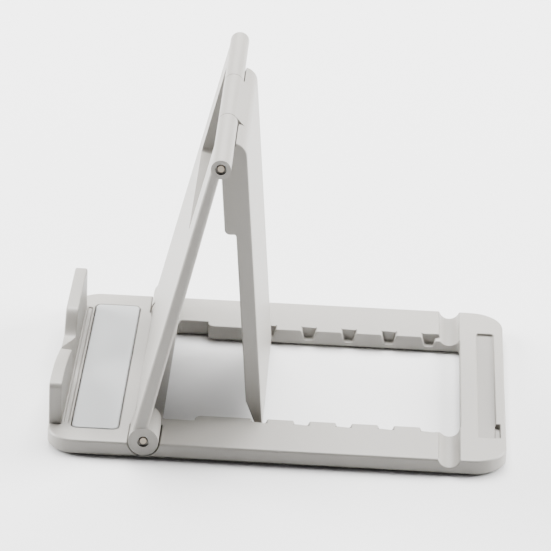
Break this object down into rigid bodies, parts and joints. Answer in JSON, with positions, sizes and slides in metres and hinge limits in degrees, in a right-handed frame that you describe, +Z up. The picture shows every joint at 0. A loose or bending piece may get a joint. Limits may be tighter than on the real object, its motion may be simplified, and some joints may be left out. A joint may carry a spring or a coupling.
{
  "type": "tablet stand",
  "caption": "Folding tablet stand: flat base with a front lip and toothed side rails, hinged back rest, and a rear leg that drops into the notches.",
  "frame": {"origin": "middle of the footprint, at the level of the table", "axes": "+Z up, +X from the front lip towards the rear of the stand, Y along the hinge pins"},
  "size_m": [0.125, 0.0952, 0.0888],
  "materials": {
    "abs_body": "matte",
    "abs_back_rest": "matte",
    "abs_leg": "matte",
    "silicone_pad": "matte",
    "rubber_foot": "matte",
    "steel_pin": "satin"
  },
  "bodies": {
    "base": {"base_frame": "abs_body", "base_pad": "silicone_pad", "foot_front_near": "rubber_foot", "foot_front_far": "rubber_foot", "foot_rear_near": "rubber_foot", "foot_rear_far": "rubber_foot"},
    "back_rest": {"back_rest": "abs_back_rest", "lower_pin_near": "steel_pin", "lower_pin_far": "steel_pin", "upper_pin": "steel_pin"},
    "rear_leg": {"rear_leg": "abs_leg"}
  },
  "joints": [
    {"name": "back_rest_hinge", "type": "hinge", "parent": "base", "child": "back_rest", "pos_m": [-0.0359, 0, 0.00545], "axis": [0, -1, 0], "range_deg": [-77.05, 15]},
    {"name": "rear_leg_hinge", "type": "hinge", "parent": "back_rest", "child": "rear_leg", "pos_m": [-0.01734, 0, 0.08614], "axis": [0, -1, 0], "range_deg": [-16.8, 37]}
  ]
}
